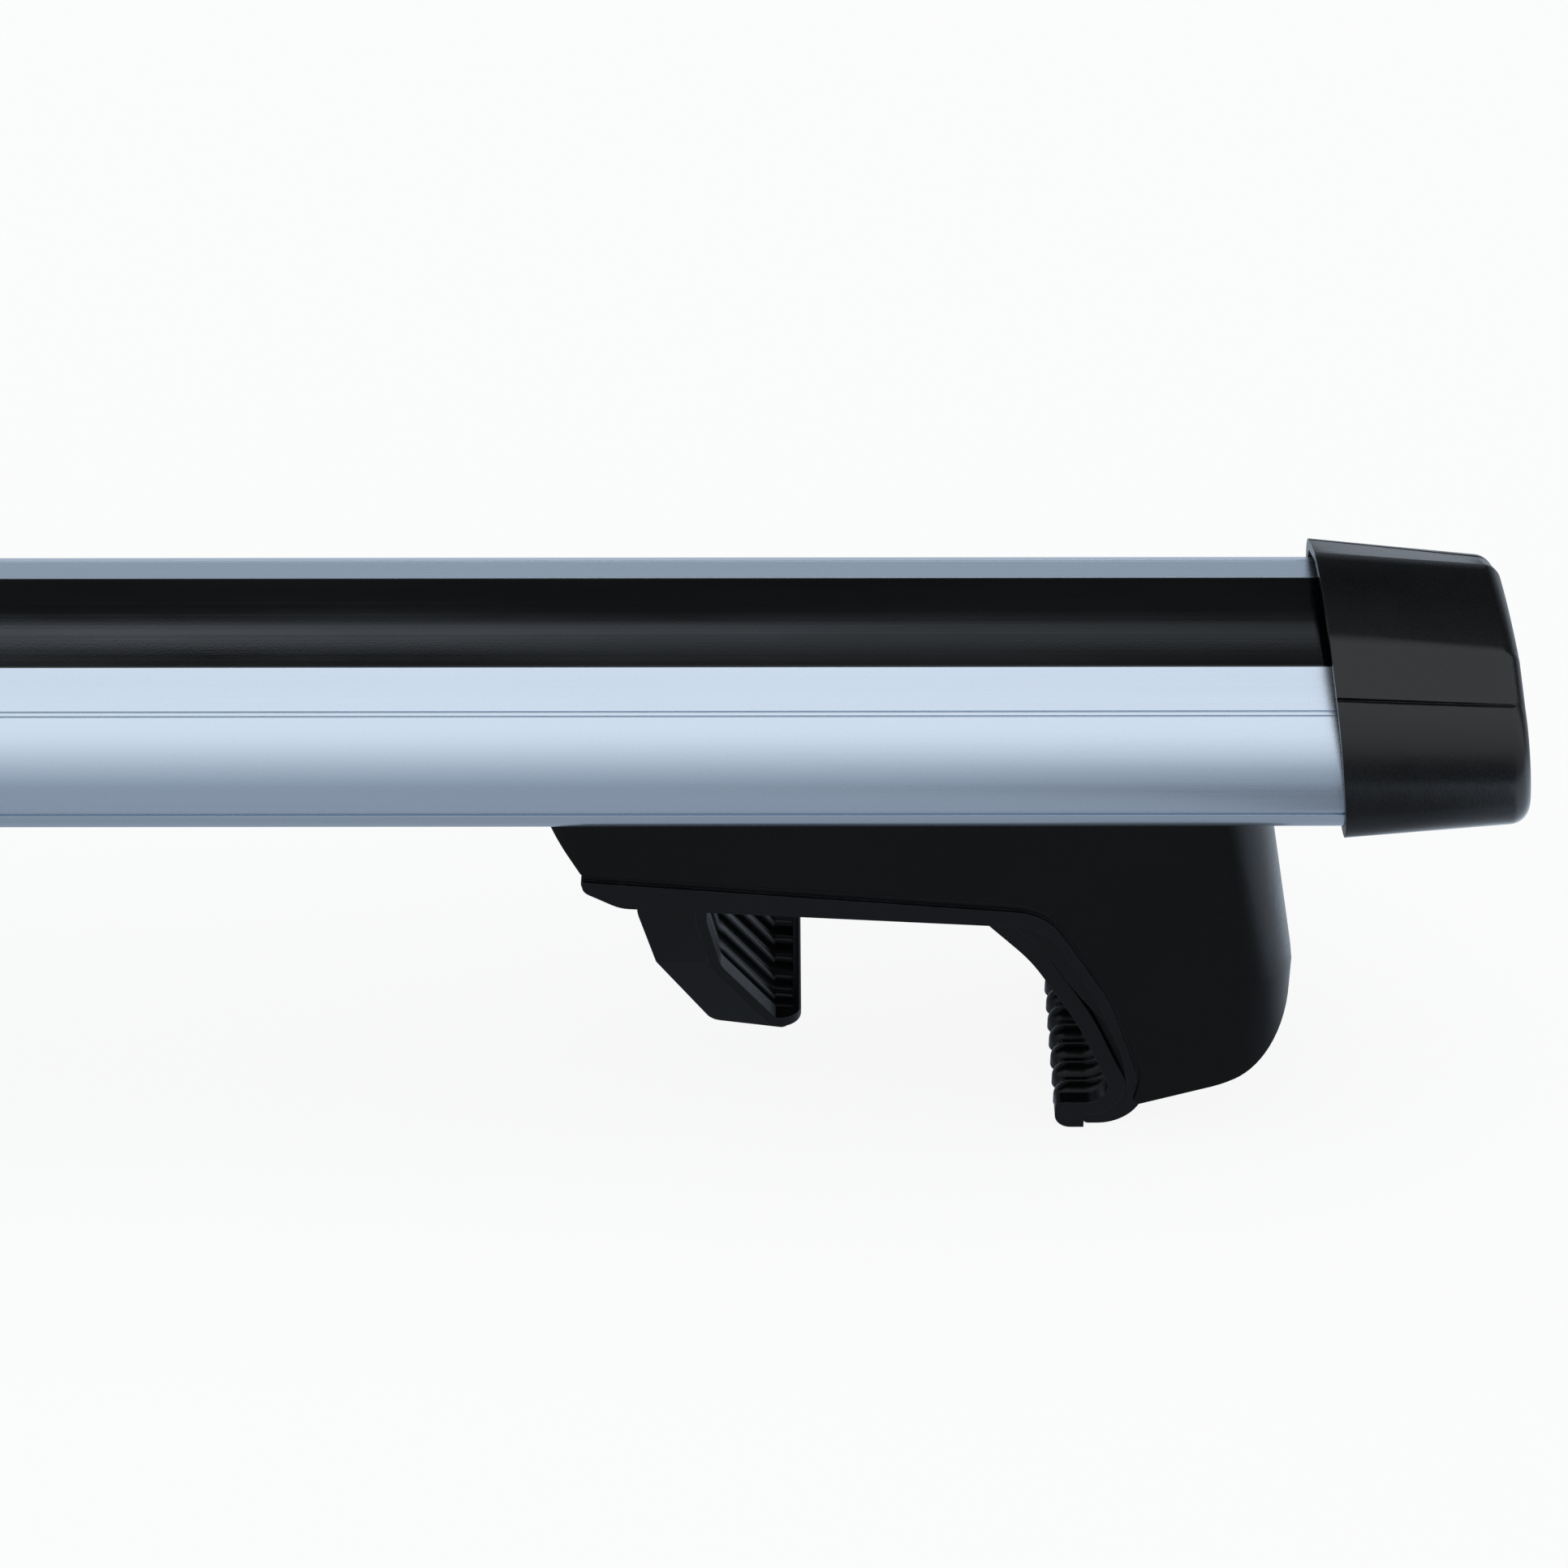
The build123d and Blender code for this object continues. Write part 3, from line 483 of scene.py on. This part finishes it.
class RACK_OT_end_caps(bpy.types.Operator):
    """Dress the plastic caps on the bar's ends"""

    bl_idname = "rack.end_caps"
    bl_label = "End caps"

    def execute(self, context):
        look = context.scene.rack_finishes
        plastic = moulded(
            "cap_plastic",
            look.cap,
            look.cap_rough,
            look.grain,
            depth=12 * MICRON,
            specular=0.5,
            edge=0.25 * MM,
            burr_and_edge_highlight=look.burr_and_edge_highlight,
        )
        dress_sides(("end_cap",), plastic)
        return {"FINISHED"}


class RACK_OT_foot_covers(bpy.types.Operator):
    """Dress the foot shells, their doors and the edge trims"""

    bl_idname = "rack.foot_covers"
    bl_label = "Foot covers"

    def execute(self, context):
        look = context.scene.rack_finishes
        plastic = moulded(
            "shell_plastic",
            look.shell,
            look.shell_rough,
            look.grain,
            depth=8 * MICRON,
            specular=0.22,
            edge=0.4 * MM,
        )
        dress_sides(("foot_shell", "lock_door"), plastic)
        soft = moulded(
            "trim_rubber",
            look.trim,
            look.trim_rough,
            look.grain * 1.4,
            depth=16 * MICRON,
            specular=0.28,
            edge=0.2 * MM,
            burr_and_edge_highlight=look.burr_and_edge_highlight,
        )
        dress_sides(("edge_trim",), soft)
        return {"FINISHED"}


class RACK_OT_clamps(bpy.types.Operator):
    """Dress the steel frames and the cast claws"""

    bl_idname = "rack.clamps"
    bl_label = "Clamps"

    def execute(self, context):
        look = context.scene.rack_finishes
        steel = coated_steel("frame_coating", look.coating, look.frame_rough, look.rubbed)
        dress_sides(("foot_frame",), steel)
        paler = [value * 1.3 for value in look.coating]
        cast = coated_steel("claw_coating", paler, look.claw_rough, look.rubbed)
        dress_sides(("claw",), cast)
        return {"FINISHED"}


class RACK_OT_pads(bpy.types.Operator):
    """Dress the ribbed rubber pads"""

    bl_idname = "rack.pads"
    bl_label = "Pads"

    def execute(self, context):
        look = context.scene.rack_finishes
        rubber = moulded(
            "pad_rubber",
            look.pad,
            look.pad_rough,
            look.grain,
            depth=10 * MICRON,
            specular=0.28,
            edge=0.3 * MM,
            burr_and_edge_highlight=look.burr_and_edge_highlight,
        )
        dress_sides(("jaw_pad", "claw_pad"), rubber)
        return {"FINISHED"}


class RACK_OT_fixings(bpy.types.Operator):
    """Dress the bolts, screws, pins, plates and locks"""

    bl_idname = "rack.fixings"
    bl_label = "Fixings"

    def execute(self, context):
        look = context.scene.rack_finishes
        dress_sides(("clamp_bolt",), threaded_steel(look))
        zinc = plated_steel("zinc_steel", look.zinc, look.zinc_rough)
        small = ("clamp_washer", "clamp_nut", "plate_screws", "shell_screws", "door_pin", "lock_cam")
        dress_sides(small, zinc)
        sawn = plated_steel("sawn_aluminium", look.plain_aluminium, look.plain_rough)
        dress_sides(("slide_plate",), sawn)
        nickel = plated_steel("nickel_lock", look.nickel, look.nickel_rough)
        dress_sides(("lock_barrel",), nickel)
        return {"FINISHED"}


def paint_sky(studio):
    """Soft studio dome: a wide overhead box, dim low walls, a long low window, and white for the camera."""
    world = bpy.data.worlds.new("studio_world")
    bpy.context.scene.world = world
    world.use_nodes = True
    tree = world.node_tree
    tree.nodes.clear()
    way = node(tree, "ShaderNodeTexCoord").outputs["Generated"]
    parts = node(tree, "ShaderNodeSeparateXYZ", {"Vector": way}).outputs
    turn = math_node(tree, "ARCTAN2", parts["Z"], parts["Y"])
    height = math_node(tree, "DIVIDE", turn, math.pi)
    dome = node(tree, "ShaderNodeValToRGB", {"Fac": height})
    elements = dome.color_ramp.elements
    while len(elements) < len(SKY_STOPS):
        elements.new(0.5)
    for element, (place, bright, cool) in zip(elements, SKY_STOPS):
        element.position = place
        element.color = (*[bright * value**cool for value in studio.tint], 1.0)
    rays = node(tree, "ShaderNodeLightPath").outputs
    seen = math_node(tree, "MAXIMUM", rays["Is Camera Ray"], rays["Is Transmission Ray"])
    foot = ramp(tree, height, *WINDOW_FOOT, 0.0, 1.0)
    head = ramp(tree, height, *WINDOW_HEAD, 1.0, 0.0)
    fade = ramp(tree, parts["X"], *WINDOW_FADE, studio.window, studio.window * WINDOW_LEFT_OVER)
    window = math_node(tree, "MULTIPLY", math_node(tree, "MULTIPLY", foot, head), fade)
    lit = blend_colours(tree, window, dome.outputs["Color"], rgba([value**3 for value in studio.tint]))
    from_top = math_node(tree, "ABSOLUTE", math_node(tree, "SUBTRACT", height, 0.5))
    low = ramp(tree, from_top, *GAP_BORDER, 0.0, 1.0)
    starts = ramp(tree, parts["X"], *GAP_START, 0.0, GAP_DEPTH)
    ends = ramp(tree, parts["X"], *GAP_END, 1.0, 0.0)
    gap = math_node(tree, "MULTIPLY", low, math_node(tree, "MULTIPLY", starts, ends))
    lit = blend_colours(tree, gap, lit, (0.0, 0.0, 0.0, 1.0))
    tone = blend_colours(tree, seen, lit, (1.0, 1.0, 1.0, 1.0))
    background = node(tree, "ShaderNodeBackground", {"Color": tone, "Strength": 1.0})
    output = node(tree, "ShaderNodeOutputWorld")
    tree.links.new(background.outputs[0], output.inputs["Surface"])


def lay_floor(studio):
    """Pale floor that keeps the object's shadow and looks white to the camera."""
    half = studio.floor_size / 2
    mesh = bpy.data.meshes.new("studio_floor")
    corners = [(-half, -half, 0), (half, -half, 0), (half, half, 0), (-half, half, 0)]
    mesh.from_pydata(corners, [], [(0, 1, 2, 3)])
    floor = bpy.data.objects.new("studio_floor", mesh)
    bpy.context.scene.collection.objects.link(floor)
    floor.location.z = -FLOOR_DROP
    material = bpy.data.materials.new("floor_paper")
    material.use_nodes = True
    tree = material.node_tree
    tree.nodes.clear()
    paper = node(tree, "ShaderNodeBsdfDiffuse", {"Color": rgba(studio.floor)})
    rays = node(tree, "ShaderNodeLightPath").outputs
    place = node(tree, "ShaderNodeNewGeometry").outputs["Position"]
    parts = node(tree, "ShaderNodeSeparateXYZ", {"Vector": place}).outputs
    beyond = math_node(tree, "ABSOLUTE", parts["X"])
    front = ramp(tree, beyond, *END_BORDER, studio.front_floor, studio.end_floor)
    # Painted shade: the floor, as gloss mirrors it, is dimmer close before the feet, where they shade it
    ahead = ramp(tree, parts["Y"], *NEAR_BORDER, front, studio.near_floor)
    behind = ramp(tree, parts["Y"], *BACK_BORDER, 0.0, studio.back_floor - studio.near_floor)
    slanted = math_node(tree, "ADD", beyond, math_node(tree, "MULTIPLY", parts["Y"], SIDE_SLANT))
    # Painted light: beside the bar's ends the floor, as gloss mirrors it, glows brighter than white
    beside = ramp(tree, slanted, *SIDE_BORDER, 0.0, studio.side_floor)
    aside = math_node(tree, "MULTIPLY", beside, ramp(tree, parts["Y"], *SIDE_BACK_BORDER, 1.0, 0.0))
    mirrored = math_node(tree, "ADD", math_node(tree, "ADD", ahead, behind), aside)
    seen = math_node(tree, "MAXIMUM", rays["Is Camera Ray"], rays["Is Transmission Ray"])
    bright = node(tree, "ShaderNodeMix", {0: seen, 2: mirrored, 3: CAMERA_WHITE}).outputs[0]
    tone = blend_colours(tree, seen, rgba(studio.floor_tint), (1.0, 1.0, 1.0, 1.0))
    white = node(tree, "ShaderNodeEmission", {"Color": tone, "Strength": bright})
    kept = math_node(tree, "MAXIMUM", seen, rays["Is Glossy Ray"])
    amount = math_node(tree, "MULTIPLY", kept, studio.floor_white)
    mixed = node(tree, "ShaderNodeMixShader", {0: amount, 1: paper.outputs[0], 2: white.outputs[0]})
    output = node(tree, "ShaderNodeOutputMaterial")
    tree.links.new(mixed.outputs[0], output.inputs["Surface"])
    mesh.materials.append(material)


def place_camera(studio):
    """Camera at the photograph's angle."""
    data = bpy.data.cameras.new("photo_camera")
    camera = bpy.data.objects.new("photo_camera", data)
    bpy.context.scene.collection.objects.link(camera)
    bpy.context.scene.camera = camera
    data.lens = studio.focal
    data.sensor_width = studio.sensor
    data.clip_start = 0.01
    data.clip_end = 50
    turn, height = studio.azimuth, studio.elevation
    ahead = Vector((math.sin(turn) * math.cos(height), math.cos(turn) * math.cos(height), -math.sin(height)))
    right = Vector((math.cos(turn), -math.sin(turn), 0))
    up = right.cross(ahead)
    eye = Vector(studio.target) - ahead * studio.distance
    facing = Matrix((right, up, -ahead)).transposed().to_4x4()
    camera.matrix_world = Matrix.Translation(eye) @ facing


class RACK_OT_studio(bpy.types.Operator):
    """Make the floor, the light and the camera"""

    bl_idname = "rack.studio"
    bl_label = "Studio"

    def execute(self, context):
        studio = context.scene.rack_studio
        paint_sky(studio)
        lay_floor(studio)
        place_camera(studio)
        context.scene.view_settings.view_transform = "Standard"
        return {"FINISHED"}


class RACK_PT_panel(bpy.types.Panel):
    """Lists the crossbar's pieces and finishes"""

    bl_idname = "RACK_PT_panel"
    bl_label = "Roof rack crossbar"
    bl_space_type = "VIEW_3D"
    bl_region_type = "UI"
    bl_category = "Rack"

    def draw(self, context):
        layout = self.layout
        for operator in OPERATORS:
            layout.operator(operator.bl_idname)
        for group in (context.scene.rack_finishes, context.scene.rack_studio):
            box = layout.box()
            for key in group.__annotations__:
                box.prop(group, key)


GROUPS = (RackFinishes, RackStudio)
OPERATORS = (
    RACK_OT_bar,
    RACK_OT_top_strip,
    RACK_OT_end_caps,
    RACK_OT_foot_covers,
    RACK_OT_clamps,
    RACK_OT_pads,
    RACK_OT_fixings,
    RACK_OT_studio,
)


def register():
    """Makes the classes and the settings known to Blender."""
    for kind in (*GROUPS, *OPERATORS, RACK_PT_panel):
        bpy.utils.register_class(kind)
    bpy.types.Scene.rack_finishes = PointerProperty(type=RackFinishes)
    bpy.types.Scene.rack_studio = PointerProperty(type=RackStudio)


def unregister():
    """Takes the classes and the settings away again."""
    del bpy.types.Scene.rack_studio
    del bpy.types.Scene.rack_finishes
    for kind in reversed((*GROUPS, *OPERATORS, RACK_PT_panel)):
        bpy.utils.unregister_class(kind)


def clear_startup():
    """Removes what the empty file came with, and keeps the frame."""
    kept = set(frame["nodes"].values()) | set(frame["bodies"].values())
    for thing in list(bpy.data.objects):
        if thing not in kept:
            bpy.data.objects.remove(thing)


def main():
    """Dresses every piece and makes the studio."""
    register()
    clear_startup()
    bpy.ops.rack.bar()
    bpy.ops.rack.top_strip()
    bpy.ops.rack.end_caps()
    bpy.ops.rack.foot_covers()
    bpy.ops.rack.clamps()
    bpy.ops.rack.pads()
    bpy.ops.rack.fixings()
    bpy.ops.rack.studio()


if __name__ == "__main__":
    main()
